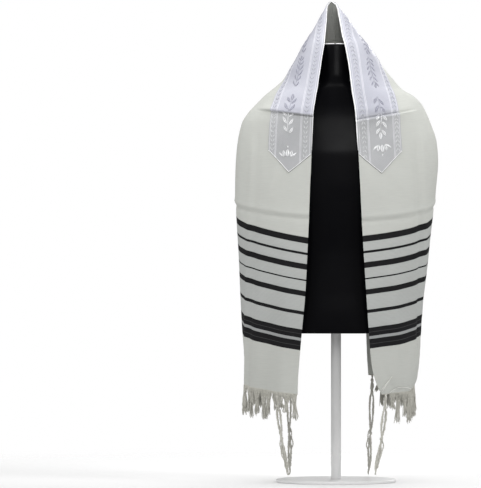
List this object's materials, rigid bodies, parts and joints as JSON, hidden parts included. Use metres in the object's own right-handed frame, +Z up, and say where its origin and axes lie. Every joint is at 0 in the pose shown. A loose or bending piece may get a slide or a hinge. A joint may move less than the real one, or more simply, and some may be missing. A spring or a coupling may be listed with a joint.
{
  "type": "tallit prayer shawl on a dress form and stand",
  "caption": "Fringed prayer shawl with a neck band and corner tassels, drawn up into a peaked hood over a limbless dress form on a round-based stand.",
  "frame": {"origin": "centre of the stand base's underside", "axes": "+Z up, the longest extent; the shawl's open front faces -Y and +X is to the right as seen from the front"},
  "size_m": [0.5054, 0.3055, 1.2035],
  "materials": {
    "cream_cloth": "matte woven",
    "white_satin": "satin jacquard",
    "cream_yarn": "matte yarn",
    "black_plastic": "gloss",
    "white_painted_steel": "satin"
  },
  "bodies": {
    "root": {"tallit_cloth": "cream_cloth", "atarah_band": "white_satin", "fringe_left": "cream_yarn", "fringe_right": "cream_yarn", "tzitzit_front_left": "cream_yarn", "tzitzit_back_left": "cream_yarn", "tzitzit_front_right": "cream_yarn", "tzitzit_back_right": "cream_yarn", "dress_form": "black_plastic", "stand_base": "white_painted_steel", "stand_pole": "white_painted_steel"}
  },
  "joints": []
}
